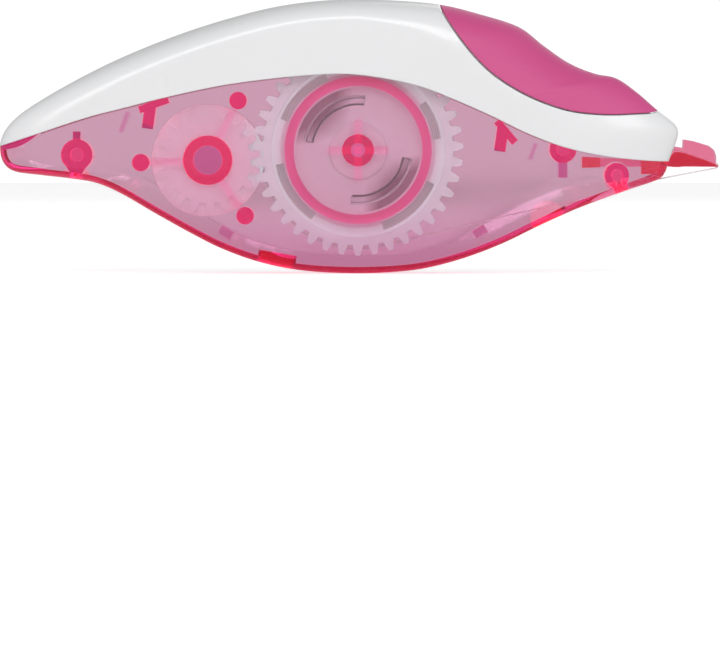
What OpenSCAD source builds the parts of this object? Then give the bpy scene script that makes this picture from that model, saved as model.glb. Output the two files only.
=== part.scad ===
// Correction tape roller: a see-through two-half case under a white saddle cover,
// with a tape spool, a slipping clutch and a geared take-up spool inside.
// X runs along the length with the applicator tip at +X, Z is up, Y is the thickness.
// The origin is on the lowest line of the belly, at mid thickness, under the tape spool axle.

/* [Body] */
// Half thickness of the see-through case at its flat side panels
case_half = 7.6; // [6.8:0.1:9]
// Thickness of the case wall
case_wall = 1.1; // [0.8:0.1:1.6]
// How far the white cover stands proud of the case on each side
cover_proud = 0.9; // [0.6:0.1:1.4]
// Thickness of the rubber finger grip
grip_thick = 1.0; // [0.6:0.1:1.4]
// How far each outline point is drawn in to reach the flat side panel
panel_shrink = 0.85; // [0.75:0.01:0.92]

/* [Tape] */
// Width of the tape
tape_width = 5.0; // [4.2:0.1:6]
// Outer radius of the full roll of fresh tape
roll_r = 14.4; // [10:0.1:14.4]
// Radius of the spool the fresh tape is wound on
core_r = 8.8; // [8.4:0.1:10]
// Thickness of the tape strands
strand_t = 0.16; // [0.1:0.02:0.3]
// Outer radius of the few turns of backing already wound up
backing_r = 7.2; // [6.4:0.1:7.3]

/* [Gears] */
// Teeth on the tape spool gear
gear_teeth = 39; // [36:1:42]
// Teeth on the take-up gear
pinion_teeth = 19; // [16:1:21]
// Distance between the two axles along X
axle_gap = 22.45; // [22:0.05:23]
// How far the take-up axle sits below the tape spool axle
axle_drop = 1.5; // [0:0.1:3]
// Free play left between the teeth
backlash = 0.14; // [0.05:0.01:0.25]

/* [Clutch] */
// Radius the clutch arms reach to inside the spool
arm_r = 7.75; // [7.5:0.05:7.8]
// Thickness of a clutch arm
arm_t = 0.75; // [0.5:0.05:0.9]

/* [Hidden] */
clear = 0.06;
supply_at = [0, 18.4];
take_at = supply_at - [axle_gap, axle_drop];
axle_dist = norm([axle_gap, axle_drop]);
mesh_mod = 2 * axle_dist / (gear_teeth + pinion_teeth);
press_angle = 20;
axle_r = 2.35;
take_axle_r = 3.65;
pin_r = 1.0;
take_pin_r = 2.15;
wall_in = case_half - case_wall;
half_tape = tape_width / 2;
gear_y0 = -5.3;
gear_y1 = -3.8;
disc_y0 = -3.55;
disc_y1 = -2.9;
spool_y1 = 2.9;
flange_t = 0.6;
core_wall = 0.95;
drum_r = 6.0;
disc_r = 8.4;
run_gap = 0.3;
guide_lo = [38.6, 14.7];
guide_lo_r = 1.83;
guide_hi = [30.6, 18.5];
guide_hi_r = 2.0;
head_half = 3.0;
spine_half = 0.9;
grip_gap = 0.18;
slot_half = 3.35;
far = 70;
ribs_in = wall_in + 0.2;
pinion_angle = atan2(axle_drop, axle_gap);

// ---- outlines, [x, z] ----

belly = [[-53.5, 18.4], [-52.9, 16.4], [-51.2, 15.2], [-47.2, 14.65], [-42.9, 14.15],
         [-39.0, 13.45], [-35.2, 11.8], [-30.3, 8.95], [-25.0, 6.0], [-20.4, 3.7],
         [-15.0, 1.75], [-9.0, 0.5], [-2.5, 0.03], [3.5, 0.08], [9.5, 0.65],
         [15.5, 2.15], [21.5, 4.4], [27.5, 7.3], [33.5, 9.95], [39.5, 12.15],
         [44.6, 13.9], [45.9, 15.1], [46.4, 16.7]];
top_line = [[47.3, 19.0], [47.8, 20.9], [47.2, 22.4], [44.7, 24.4], [41.6, 27.1],
            [38.6, 29.15], [35.4, 29.85], [31.6, 31.4], [27.8, 34.0], [24.0, 36.85],
            [18.0, 38.8], [12.0, 40.2], [4.0, 40.85], [-4.0, 40.85], [-12.0, 39.9],
            [-20.0, 37.9], [-28.0, 35.25], [-36.0, 31.95], [-43.0, 28.4], [-49.0, 24.8],
            [-51.9, 22.4], [-53.2, 20.3]];
border = [[-60, 17.2], [-53.5, 19.0], [-48.5, 20.6], [-40.6, 23.2], [-34.8, 24.7],
          [-28.9, 26.2], [-21.0, 27.9], [-14.1, 28.9], [-7.0, 29.6], [-1.5, 29.75],
          [3.9, 29.1], [9.3, 27.9], [14.7, 25.8], [20.1, 23.4], [25.5, 20.8],
          [30.9, 18.8], [36.3, 17.6], [41.7, 16.95], [47.0, 16.7], [60, 16.6]];
case_top = [[-60, 19.0], [-51.0, 19.9], [-46.0, 23.3], [-40.0, 27.0], [-33.0, 30.3], [-26.0, 32.9],
            [-18.0, 35.1], [-10.0, 36.5], [-2.0, 37.0], [5.0, 36.3], [10.5, 34.0],
            [14.5, 30.9], [18.0, 28.7], [22.0, 26.7], [26.0, 24.6], [31.3, 22.5], [36.0, 21.6],
            [42.0, 21.0], [60, 20.6]];
grip_edge = [[12.0, 44], [12.1, 40.0], [14.8, 35.4], [18.2, 31.3], [21.6, 28.5],
             [26.1, 26.0], [31.3, 24.2], [36.4, 23.6], [41.0, 23.7], [44.9, 24.2], [50, 27]];

function mix1(a, b, t) = a + (b - a) * t;
function ease(t) = let (c = min(1, max(0, t))) c * c * (3 - 2 * c);

// Point t of the way from p1 to p2 on a curve passing through all four points
function spline(p0, p1, p2, p3, t) =
    0.5 * (2 * p1 + (p2 - p0) * t + (2 * p0 - 5 * p1 + 4 * p2 - p3) * t * t
           + (3 * p1 - p0 - 3 * p2 + p3) * t * t * t);

// Closed outline rounded through its points, with k steps between neighbours
function rounded_loop(p, k) = let (n = len(p))
    [for (i = [0 : n - 1], j = [0 : k - 1])
        spline(p[(i + n - 1) % n], p[i], p[(i + 1) % n], p[(i + 2) % n], j / k)];

// Open line rounded through its points
function rounded_line(p, k) = let (n = len(p))
    concat([for (i = [0 : n - 2], j = [0 : k - 1])
        spline(p[max(0, i - 1)], p[i], p[i + 1], p[min(n - 1, i + 2)], j / k)], [p[n - 1]]);

silhouette = rounded_loop(concat(belly, top_line), 2);

// ---- the common body shape ----

panel_steps = 3;
trim = 0.03;
function spine(x) = 20 - 0.0009 * x * x;

// Where an outline point lands on the flat side panel
function on_panel(p) = let (x = p.x * (p.x > 0 ? 0.6 : 0.87))
    [x, spine(x) + (p.y - spine(p.x)) * panel_shrink - max(0, x) * 0.11];

// Half width of the flat band along the outline: wide below, crowned on top
function band(p) = mix1(4.7, 1.9, ease((p.y - 22) / 14));

// Solid with the outline at mid thickness and flat side panels, grown by dy on each side
module body(dy) {
    n = len(silhouette);
    rings = 2 * (panel_steps + 1);
    function turn(k) = 90 * (k <= panel_steps ? panel_steps - k : k - panel_steps - 1) / panel_steps;
    function side(k) = k <= panel_steps ? -1 : 1;
    pts = [for (k = [0 : rings - 1], i = [0 : n - 1])
        let (p = silhouette[i], q = on_panel(p), a = turn(k),
             xz = mix1(p, q, 1 - cos(a)),
             y = dy + band(p) + (case_half + trim - band(p)) * sin(a))
        [xz.x, side(k) * y, xz.y]];
    walls = [for (k = [0 : rings - 2], i = [0 : n - 1])
        let (a = k * n + i, b = k * n + (i + 1) % n)
        each [[a, b, b + n], [a, b + n, a + n]]];
    caps = [[for (i = [n - 1 : -1 : 0]) i], [for (i = [0 : n - 1]) (rings - 1) * n + i]];
    // the loft runs a little past the side panels, which are then cut flat
    intersection() {
        polyhedron(points = pts, faces = concat(walls, caps));
        translate([-far, -case_half - dy, -10]) cube([2 * far, 2 * (case_half + dy), 60]);
    }
}

// Everything on one side of a line, over the given Y range
module prism(outline, y0, y1) {
    translate([0, y1, 0]) rotate([90, 0, 0]) linear_extrude(y1 - y0) polygon(outline);
}

module inset_prism(inset) {
    translate([0, 20, 0]) rotate([90, 0, 0]) linear_extrude(40)
        offset(delta = -inset) polygon(silhouette);
}

module under(line) prism(concat(line, [[far, -20], [-far, -20]]), -20, 20);
module over(line) prism(concat(line, [[far, far], [-far, far]]), -20, 20);

module half_space(side) {
    translate([-far, side > 0 ? 0.01 : -20 - 0.01, -20]) cube([2 * far, 20, 90]);
}

// Round rod along Y between two Y positions
module rod(at, y0, y1, r) {
    translate([at.x, y1, at.y]) rotate([90, 0, 0]) cylinder(h = y1 - y0, r = r, $fn = 64);
}

// Block centred on a point, turned in the side view
module block(at, size, y0, y1, turn) {
    translate([at.x, (y0 + y1) / 2, at.y]) rotate([0, -turn, 0])
        cube([size.x, y1 - y0, size.y], center = true);
}

// ---- case halves ----

tear_at = [-42.0, 17.7];
tear_r = 2.35;
post_r = 1.3;
post_ring = 10;
post_angles = [182, 63, -56];
latches = [[-30.5, 25.2, 20, 4.6, 23.4], [22.1, 21.15, -50, 4.2, 20.0]];

function polar(at, r, a) = [at.x + r * cos(a), at.y + r * sin(a)];
tear_outline = concat([for (a = [-33 : 12 : 213]) polar(tear_at, tear_r, a)],
                      [[tear_at.x - 0.3, 14.6], [tear_at.x + 0.3, 14.6]]);

// Mouth that the tape and the applicator head pass through
module mouth() translate([43.6, -slot_half, 12.4]) cube([8, 2 * slot_half, 7.3]);

// Space inside the case, open at the top over the fresh tape, which runs under the cover there
module case_hollow() {
    intersection() {
        body(-case_wall);
        inset_prism(case_wall + 0.1);
        under([for (p = rounded_line(case_top, 2)) [p.x, p.y - case_wall]]);
    }
    translate([15, -slot_half, 18]) cube([34, 2 * slot_half, 20]);
}

// One half of the case, with the children standing inside it
module case_shell(side) {
    difference() {
        intersection() { body(0); under(rounded_line(case_top, 2)); half_space(side); }
        difference() { case_hollow(); union() { panel_bosses(side); children(); } }
        mouth();
        // groove the backing paper slides out of along the belly
        prism([[32.5, 10.75], [39.1, 12.48], [41.5, 12.98], [42.2, 12], [48, 12], [48, 16], [33, 13]],
              -half_tape - 0.3, half_tape + 0.3);
    }
}

// Ribs, bosses and hooks both halves carry on the inside of their panels
module panel_bosses(s) {
    // s is the side: -1 front, 1 rear; each boss stops just short of mid thickness
    function y0(inner) = s < 0 ? -ribs_in : inner;
    function y1(inner) = s < 0 ? -inner : ribs_in;
    module boss(at, r, inner) rod(at, y0(inner), y1(inner), r);
    module rib(at, size, inner, turn) block(at, size, y0(inner), y1(inner), turn);
    prism(tear_outline, y0(0.05), y1(0.05));
    rib([tear_at.x, 20.4], [1.15, 1.6], 0.05, 0);
    boss(guide_hi, guide_hi_r, 0.05);
    rib([guide_hi.x, 15.6], [1.3, 2.6], 3.2, 0);
    boss(guide_lo, guide_lo_r, 0.05);
    rib([-19.7, 6.2], [1.1, 2.0], 3.4, 60);
    rib([18.2, 6.3], [1.1, 2.0], 3.4, -60);
    rib([-35.0, 22.6], [0.6, 3.2], 5.2, -20);
    rib([26.2, 18.2], [0.5, 2.6], 5.2, -20);
    // snap blocks along the belly
    rib([-12.05, 2.55], [5.7, 1.3], 0.05, -10);
    rib([28.3, 8.4], [6.2, 1.1], 0.05, 27);
    for (l = latches) {
        rib([l.x, l.y], [l[3], 1.1], 0.05, l.z);
        rib([l.x - 0.7, l[4]], [1.7, 3.6], 0.05, -8);
    }
}

module front_case() color([0.86, 0.42, 0.66, 0.5]) {
    difference() {
        case_shell(-1) {
            // tape spool boss with its pin, cross ribs and the thin ring rib round it
            rod(supply_at, -ribs_in, -5.55, axle_r);
            rod(supply_at, -ribs_in, -3.5, pin_r);
            block(supply_at, [9.4, 1.3], -ribs_in, -5.75, 0);
            block(supply_at, [1.3, 9.4], -ribs_in, -5.75, 0);
            difference() {
                rod(supply_at, -ribs_in, -5.0, 11.0);
                rod(supply_at, -ribs_in - 1, -4.9, 9.6);
            }
            // take-up boss, spokes and posts
            rod(take_at, -ribs_in, -5.55, take_axle_r);
            rod(take_at, -ribs_in, -3.5, take_pin_r);
            for (a = post_angles) {
                rod(polar(take_at, post_ring, a), -ribs_in, -0.05, post_r);
                block(polar(take_at, post_ring / 2, a), [post_ring, 1.1], -ribs_in, -5.75, a);
            }
        }
        rod(tear_at, -5.4, 1, 1.0);
        rod(guide_lo, -5.4, 1, 0.85);
        rod(guide_hi, -5.4, 1, 0.95);
    }
}

module rear_case() color([0.86, 0.42, 0.66, 0.5]) {
    case_shell(1) {
        // shoulders that keep the spools in line
        rod(supply_at, spool_y1 + flange_t + 0.4, ribs_in, axle_r + 2);
        rod(take_at, spool_y1 + flange_t + 0.3, ribs_in, take_axle_r + 1.4);
        for (a = post_angles)
            rod(polar(take_at, post_ring, a), 0.05, ribs_in, post_r);
    }
    rod(tear_at, -4.6, 1, 0.94);
    rod(guide_lo, -4.6, 1, 0.79);
    rod(guide_hi, -4.6, 1, 0.89);
    // axles, hollow so that the front half's pins sit in their ends
    difference() {
        rod(supply_at, gear_y0 - 0.1, ribs_in, axle_r);
        rod(supply_at, -20, 5.6, pin_r + clear);
    }
    difference() {
        rod(take_at, gear_y0 - 0.1, ribs_in, take_axle_r);
        rod(take_at, -20, 5.6, take_pin_r + clear);
    }
}

// ---- cover and grip ----

module grip_zone() prism(concat(rounded_line(grip_edge, 2), [[50, 50], [12, 50]]), -20, 20);

module top_cover() color([0.93, 0.93, 0.94]) {
    difference() {
        intersection() { body(cover_proud); over(rounded_line(border, 2)); }
        // seat for the case
        intersection() {
            body(clear);
            under([for (p = rounded_line(case_top, 2)) [p.x, p.y + clear]]);
        }
        // hollow above the case, shallower under the grip
        intersection() {
            body(cover_proud - 1.2);
            inset_prism(1.3);
            prism([[-far, 0], [11, 0], [11, 60], [-far, 60]], -20, 20);
        }
        intersection() {
            body(cover_proud - grip_thick - 1.1);
            inset_prism(grip_thick + 1.3);
        }
        // seat for the grip
        difference() {
            grip_zone();
            intersection() { body(cover_proud - grip_thick); inset_prism(grip_thick); }
        }
        mouth();
    }
}

module finger_grip() color([0.80, 0.32, 0.56]) {
    difference() {
        intersection() {
            body(cover_proud);
            prism(concat([for (p = rounded_line(grip_edge, 2)) [p.x + grip_gap, p.y + grip_gap]],
                         [[50, 50], [12 + grip_gap, 50]]), -20, 20);
        }
        intersection() {
            body(cover_proud - grip_thick + 0.02);
            inset_prism(grip_thick - 0.02);
        }
    }
}

// ---- applicator head ----

// The same outline on both sides of mid thickness
module pair(outline, y0, y1) {
    prism(outline, y0, y1);
    prism(outline, -y1, -y0);
}

module applicator_head() color([0.86, 0.30, 0.36]) {
    plate = [[48.1, 16.15], [48.1, 18.1], [49.0, 17.9], [51.8, 16.95],
             [53.65, 16.2], [53.8, 16.02], [53.6, 15.9], [48.3, 15.95]];
    guide = [[48.6, 16.2], [48.75, 20.0], [50.2, 19.75], [52.5, 19.05], [53.3, 18.4],
             [53.6, 17.5], [53.6, 16.3], [53.4, 16.15]];
    neck = [[42.3, 17.1], [44.4, 17.0], [46.3, 17.2], [47.4, 18.1], [48.2, 18.1],
            [48.2, 15.85], [46.3, 15.95], [44.5, 14.95], [42.3, 14.85]];
    spine_bar = [[36.0, 17.25], [42.5, 17.05], [42.5, 15.95], [36.0, 15.95]];
    key = [[33.5, 15.75], [33.5, 17.45], [36.2, 17.3], [36.2, 15.85]];
    prism(plate, -half_tape - 0.25, half_tape + 0.25);
    difference() {
        union() {
            prism(neck, -head_half + 0.05, head_half - 0.05);
            prism(spine_bar, -spine_half, spine_half);
            prism(key, -head_half + 0.05, head_half - 0.05);
        }
        rod(guide_lo, -10, 10, guide_lo_r + 0.2);
    }
    cheek = [[46.9, 16.0], [46.9, 17.9], [47.5, 18.95], [48.65, 18.75], [48.65, 15.9], [47.2, 15.85]];
    pair(guide, half_tape + 0.2, half_tape + 0.95);
    pair(cheek, half_tape + 0.2, half_tape + 0.85);
}

// ---- gears ----

function involute(rb, a) = [rb * (cos(a) + a * PI / 180 * sin(a)), rb * (sin(a) - a * PI / 180 * cos(a))];

// Outline of a spur gear with one tooth centred on +X
function gear_outline(teeth, add, ded) = let (
    rp = mesh_mod * teeth / 2, rb = rp * cos(press_angle),
    ra = rp + add * mesh_mod, rf = rp - ded * mesh_mod,
    at_pitch = (tan(press_angle) - press_angle * PI / 180) * 180 / PI,
    half = 90 / teeth - backlash / 2 / rp * 90 / PI,
    start = max(rb, rf), steps = 4)
    [for (t = [0 : teeth - 1]) let (mid = 360 * t / teeth,
        flank = [for (s = [0 : steps]) let (r = mix1(start, ra, s / steps),
            roll = sqrt(max(0, r * r / (rb * rb) - 1)) * 180 / PI,
            p = involute(rb, roll)) [norm(p), atan2(p.y, p.x) - at_pitch - half]])
        each concat(
            [[rf * cos(mid + flank[0].y), rf * sin(mid + flank[0].y)]],
            [for (f = flank) [f.x * cos(mid + f.y), f.x * sin(mid + f.y)]],
            [for (s = [steps : -1 : 0]) let (f = flank[s]) [f.x * cos(mid - f.y), f.x * sin(mid - f.y)]],
            [[rf * cos(mid - flank[0].y), rf * sin(mid - flank[0].y)]])];

module gear_blank(at, teeth, turn) {
    translate([at.x, gear_y1, at.y]) rotate([90, 0, 0]) rotate(turn)
        linear_extrude(gear_y1 - gear_y0) polygon(gear_outline(teeth, 0.78, 1.15));
}

// Flat band sweeping part of a circle, as an outline
function arc_band(at, r0, r1, a0, a1) = let (n = ceil((a1 - a0) / 6)) concat(
    [for (i = [0 : n]) polar(at, r1, a0 + (a1 - a0) * i / n)],
    [for (i = [n : -1 : 0]) polar(at, r0, a0 + (a1 - a0) * i / n)]);

// one tooth of the large gear points straight down
supply_turn = -90;
mesh_dir = 180 + pinion_angle;
supply_phase = (mesh_dir - supply_turn) * gear_teeth / 360;
pinion_turn = pinion_angle + (0.5 + supply_phase) * 360 / pinion_teeth;

module supply_gear() color([0.90, 0.86, 0.90]) {
    hub_r = 4.3;
    rim_in = 13.0;
    difference() {
        union() {
            gear_blank(supply_at, gear_teeth, supply_turn);
            rod(supply_at, gear_y0 - 0.05, spool_y1, hub_r);
        }
        // the web is thinner than the rim
        difference() {
            rod(supply_at, gear_y0 - 1, gear_y0 + 0.6, rim_in);
            rod(supply_at, gear_y0 - 2, gear_y0 + 1, hub_r);
        }
        rod(supply_at, -20, 20, axle_r + clear);
        for (s = [[113, 158], [190, 236], [8, 36], [-72, -24]])
            prism(arc_band(supply_at, 11.3, 12.5, s.x, s.y), -10, 0);
        for (s = [[82, 171], [262, 351]])
            prism(arc_band(supply_at, 6.7, 8.2, s.x, s.y), -10, gear_y1 + 1);
    }
}

module clutch_spring() color([0.93, 0.90, 0.92]) {
    ring_in = 4.3 + clear / 2;
    y0 = gear_y1 + 0.15;
    y1 = gear_y1 + 2.4;
    difference() {
        union() {
            rod(supply_at, y0, y1, 5.3);
            for (a = [78, 258]) {
                block(polar(supply_at, 6.2, a), [2.6, 1.2], y0, y1, a);
                prism(arc_band(supply_at, arm_r - arm_t, arm_r, a - 5, a + 92), y0, y1);
            }
        }
        rod(supply_at, -20, 20, ring_in);
    }
}

module supply_core() color([0.95, 0.95, 0.95]) {
    difference() {
        union() {
            rod(supply_at, disc_y0, spool_y1, core_r);
            rod(supply_at, spool_y1, spool_y1 + flange_t, 12.2);
        }
        rod(supply_at, -20, spool_y1 - 0.7, core_r - core_wall);
        rod(supply_at, -20, 20, 4.3 + clear + 0.05);
    }
}

module fresh_tape_roll() color([0.96, 0.96, 0.95]) {
    difference() {
        rod(supply_at, -half_tape, half_tape, roll_r);
        rod(supply_at, -20, 20, core_r);
    }
}

module takeup_gear() color([0.90, 0.86, 0.90]) {
    difference() {
        union() {
            gear_blank(take_at, pinion_teeth, pinion_turn);
            rod(take_at, gear_y1 - 0.1, disc_y0 + 0.1, 6.6);
            rod(take_at, disc_y0, disc_y1, disc_r);
            rod(take_at, disc_y1 - 0.1, spool_y1 - 0.5, 4.4);
        }
        rod(take_at, -20, 20, take_axle_r + clear);
    }
}

module takeup_drum() color([0.95, 0.93, 0.95]) {
    difference() {
        union() {
            rod(take_at, disc_y1 + 0.02, spool_y1, drum_r);
            rod(take_at, spool_y1, spool_y1 + flange_t, disc_r);
        }
        rod(take_at, -20, spool_y1 - 0.5, 4.42);
        rod(take_at, -20, 20, take_axle_r + clear);
    }
}

module backing_roll() color([0.85, 0.86, 0.86]) {
    difference() {
        rod(take_at, -half_tape, half_tape, backing_r);
        rod(take_at, -20, 20, drum_r);
    }
}

// ---- tape strands ----

function heading(a, b) = atan2(b.y - a.y, b.x - a.x);

// Angle at which the common line touching two circles on the same side leaves them
function touch(c1, r1, c2, r2, side) =
    heading(c1, c2) + side * acos((r1 - r2) / norm(c2 - c1));

// Points along an arc
function arc(at, r, a0, a1) = let (n = max(1, ceil(abs(a1 - a0) / 5)))
    [for (i = [0 : n]) polar(at, r, a0 + (a1 - a0) * i / n)];

// Band of the strand thickness laid on the left of a line of points
function ribbon(p, t) = let (n = len(p),
    dirs = [for (i = [0 : n - 1]) heading(p[max(0, i - 1)], p[min(n - 1, i + 1)])])
    concat(p, [for (i = [n - 1 : -1 : 0]) polar(p[i], t, dirs[i] + 90)]);

over_r = roll_r + run_gap;
wind_r = backing_r + 0.1 + strand_t;
plate_start = [48.1, 18.2];
lip = [45.9, 14.3];
leave_roll = touch(supply_at, over_r, plate_start, 0, 1);
meet_guide = polar(guide_lo, guide_lo_r + clear, -76);
meet_roll = touch(supply_at, over_r, guide_lo, guide_lo_r + clear, -1);
// the backing crosses between the two rolls, which turn opposite ways
cross = acos((over_r + wind_r) / axle_dist);

module fresh_tape_run() color([0.97, 0.97, 0.96]) {
    path = concat(arc(supply_at, over_r, leave_roll + 24, leave_roll),
                  [plate_start, [49.05, 18.0], [51.85, 17.05], [53.6, 16.36]]);
    prism(ribbon(path, strand_t), -half_tape, half_tape);
}

module backing_return_run() color([0.88, 0.88, 0.87]) {
    path = concat([[53.65, 16.34], [53.86, 16.2], [53.9, 16.0], [53.8, 15.84], [53.6, 15.76],
                   lip, meet_guide],
                  arc(supply_at, over_r, meet_roll, pinion_angle - 180 + cross),
                  arc(take_at, wind_r, pinion_angle + cross, 62));
    prism(ribbon(path, strand_t), -half_tape, half_tape);
}

front_case();
rear_case();
top_cover();
finger_grip();
applicator_head();
supply_gear();
clutch_spring();
supply_core();
fresh_tape_roll();
takeup_gear();
takeup_drum();
backing_roll();
fresh_tape_run();
backing_return_run();
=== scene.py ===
"""Correction tape roller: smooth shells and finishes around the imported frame."""
import logging
import math
from dataclasses import dataclass, field
from enum import Enum
from typing import Any, Iterable, Optional, Union

import bmesh
import bpy
import numpy as np
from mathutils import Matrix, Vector


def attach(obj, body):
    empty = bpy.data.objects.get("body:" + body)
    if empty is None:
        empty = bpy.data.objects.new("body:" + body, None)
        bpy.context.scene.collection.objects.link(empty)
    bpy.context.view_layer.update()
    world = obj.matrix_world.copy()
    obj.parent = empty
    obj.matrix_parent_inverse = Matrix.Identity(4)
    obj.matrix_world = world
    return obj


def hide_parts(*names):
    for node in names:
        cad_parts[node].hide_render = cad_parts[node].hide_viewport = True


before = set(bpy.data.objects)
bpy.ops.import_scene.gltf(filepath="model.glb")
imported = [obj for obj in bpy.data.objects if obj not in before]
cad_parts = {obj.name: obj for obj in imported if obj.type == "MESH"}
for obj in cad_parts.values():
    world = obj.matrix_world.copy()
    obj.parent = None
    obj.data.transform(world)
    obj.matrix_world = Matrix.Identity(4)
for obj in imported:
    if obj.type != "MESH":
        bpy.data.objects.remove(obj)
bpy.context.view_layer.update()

Point = tuple[float, float]
Colour = tuple[float, float, float]
log = logging.getLogger("roller")

MM = 0.001


# ---------------------------------------------------------------- outlines

def spline(p0: np.ndarray, p1: np.ndarray, p2: np.ndarray, p3: np.ndarray, t: float) -> np.ndarray:
    """Finds a point between p1 and p2 on the curve through all four.

    Args:
        p0, p1, p2, p3: neighbouring points.
        t: share of the way from p1 to p2.
    Returns:
        The point on the curve.
    """
    return 0.5 * (2 * p1 + (p2 - p0) * t + (2 * p0 - 5 * p1 + 4 * p2 - p3) * t * t
                  + (3 * p1 - p0 - 3 * p2 + p3) * t ** 3)


def rounded_loop(points: list[Point], steps: int) -> np.ndarray:
    """Rounds a closed outline through its points.

    Args:
        points: outline corners in order.
        steps: samples from one point to the next.
    Returns:
        The samples, one row each.
    """
    p = np.array(points, float)
    n = len(p)
    return np.array([spline(p[i - 1], p[i], p[(i + 1) % n], p[(i + 2) % n], j / steps)
                     for i in range(n) for j in range(steps)])


def rounded_line(points: list[Point], steps: int) -> np.ndarray:
    """Rounds an open line through its points.

    Args:
        points: points in order.
        steps: samples from one point to the next.
    Returns:
        The samples, one row each, with the last point.
    """
    p = np.array(points, float)
    n = len(p)
    rows = [spline(p[max(0, i - 1)], p[i], p[i + 1], p[min(n - 1, i + 2)], j / steps)
            for i in range(n - 1) for j in range(steps)]
    return np.array(rows + [p[-1]])


def polar(at: Point, radius: float, turn: float) -> Point:
    """Returns the point at a radius and an angle in degrees round another."""
    a = math.radians(turn)
    return at[0] + radius * math.cos(a), at[1] + radius * math.sin(a)


def ease(t: float) -> float:
    """Returns a smooth step from 0 to 1."""
    c = min(1.0, max(0.0, t))
    return c * c * (3 - 2 * c)


# ---------------------------------------------------------------- solids

class Join(Enum):
    """How two solids are put together."""

    ADD = "UNION"
    CUT = "DIFFERENCE"
    KEEP = "INTERSECT"


class Solid:
    """Closed mesh in millimetres that can be added, cut and kept."""

    def __init__(self, mesh: bpy.types.Mesh) -> None:
        """Takes the mesh over."""
        self.mesh = mesh

    @classmethod
    def of(cls, points: Iterable[Iterable[float]], faces: list[list[int]]) -> "Solid":
        """Makes a solid of points and faces, with its faces turned outwards.

        Args:
            points: corner positions.
            faces: corner numbers of each face.
        Returns:
            The solid.
        """
        mesh = bpy.data.meshes.new("solid")
        mesh.from_pydata([tuple(map(float, p)) for p in points], [], faces)
        bm = bmesh.new()
        bm.from_mesh(mesh)
        bmesh.ops.recalc_face_normals(bm, faces=bm.faces)
        bm.to_mesh(mesh)
        bm.free()
        return cls(mesh)

    @classmethod
    def prism(cls, outline: Iterable[Point], y0: float = -20, y1: float = 20) -> "Solid":
        """Draws a side view outline out between two Y positions.

        Args:
            outline: closed outline in X and Z.
            y0: near end.
            y1: far end.
        Returns:
            The solid.
        """
        p = list(outline)
        n = len(p)
        points = [(x, y0, z) for x, z in p] + [(x, y1, z) for x, z in p]
        walls = [[i, (i + 1) % n, n + (i + 1) % n, n + i] for i in range(n)]
        return cls.of(points, walls + [list(range(n - 1, -1, -1)), list(range(n, 2 * n))])

    @classmethod
    def rod(cls, at: Point, y0: float, y1: float, radius: float, sides: int = 72) -> "Solid":
        """Makes a round rod along Y.

        Args:
            at: its axis in X and Z.
            y0: near end.
            y1: far end.
            radius: its radius.
            sides: facets round it.
        Returns:
            The solid.
        """
        return cls.prism([polar(at, radius, 360 * i / sides) for i in range(sides)], y0, y1)

    @classmethod
    def block(cls, at: Point, size: Point, y0: float, y1: float, turn: float = 0) -> "Solid":
        """Makes a block centred on a point and turned in the side view.

        Args:
            at: its middle in X and Z.
            size: its length and height.
            y0: near end.
            y1: far end.
            turn: degrees it is turned.
        Returns:
            The solid.
        """
        half, lean = math.hypot(*size) / 2, math.degrees(math.atan2(size[1], size[0]))
        corners = [polar(at, half, turn + a) for a in (lean, 180 - lean, 180 + lean, -lean)]
        return cls.prism(corners, y0, y1)

    @classmethod
    def every(cls, solids: list["Solid"]) -> "Solid":
        """Adds a list of solids together.

        Args:
            solids: the solids, at least one.
        Returns:
            The one solid.
        """
        whole = solids[0]
        for part in solids[1:]:
            whole = whole + part
        return whole

    def _with(self, other: "Solid", how: Join) -> "Solid":
        """Puts another solid to this one.

        Args:
            other: the other solid.
            how: added, cut away or kept where both are.
        Returns:
            The new solid.
        """
        objects = [bpy.data.objects.new("bench", s.mesh) for s in (self, other)]
        for o in objects:
            bpy.context.scene.collection.objects.link(o)
        step = objects[0].modifiers.new("join", "BOOLEAN")
        step.operation, step.solver, step.object = how.value, "MANIFOLD", objects[1]
        bpy.context.view_layer.update()
        seen = objects[0].evaluated_get(bpy.context.evaluated_depsgraph_get())
        mesh = bpy.data.meshes.new_from_object(seen)
        for o in objects:
            bpy.data.objects.remove(o)
        return Solid(mesh)

    def __add__(self, other: "Solid") -> "Solid":
        """Adds another solid."""
        return self._with(other, Join.ADD)

    def __sub__(self, other: "Solid") -> "Solid":
        """Cuts another solid away."""
        return self._with(other, Join.CUT)

    def __and__(self, other: "Solid") -> "Solid":
        """Keeps what is in both solids."""
        return self._with(other, Join.KEEP)

    def piece(self, name: str, material: bpy.types.Material, slot: str, nodes: Iterable[str],
              crease: float = 32) -> bpy.types.Object:
        """Turns the solid into a shown piece that stands for CAD nodes.

        Args:
            name: the piece's name.
            material: its finish.
            slot: the record's material slot, not used.
            nodes: CAD nodes it stands for.
            crease: degrees from which an edge stays sharp.
        Returns:
            The piece.
        """
        bm = bmesh.new()
        bm.from_mesh(self.mesh)
        bmesh.ops.scale(bm, vec=(MM, MM, MM), verts=bm.verts)
        bmesh.ops.remove_doubles(bm, verts=bm.verts, dist=2e-7)
        bmesh.ops.dissolve_degenerate(bm, edges=bm.edges, dist=1e-7)
        mesh = bpy.data.meshes.new(name)
        bm.to_mesh(mesh)
        bm.free()
        mesh.materials.clear()
        mesh.materials.append(material)
        mesh.shade_smooth()
        mesh.set_sharp_from_angle(angle=math.radians(crease))
        o = bpy.data.objects.new(name, mesh)
        bpy.context.scene.collection.objects.link(o)
        even = o.modifiers.new("even_light", "WEIGHTED_NORMAL")
        even.keep_sharp, even.weight = True, 60
        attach(o, "body")
        for node in nodes:
            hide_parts(node)
        log.info("%s: %d faces", name, len(mesh.polygons))
        return o


FAR = 70.0


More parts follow.
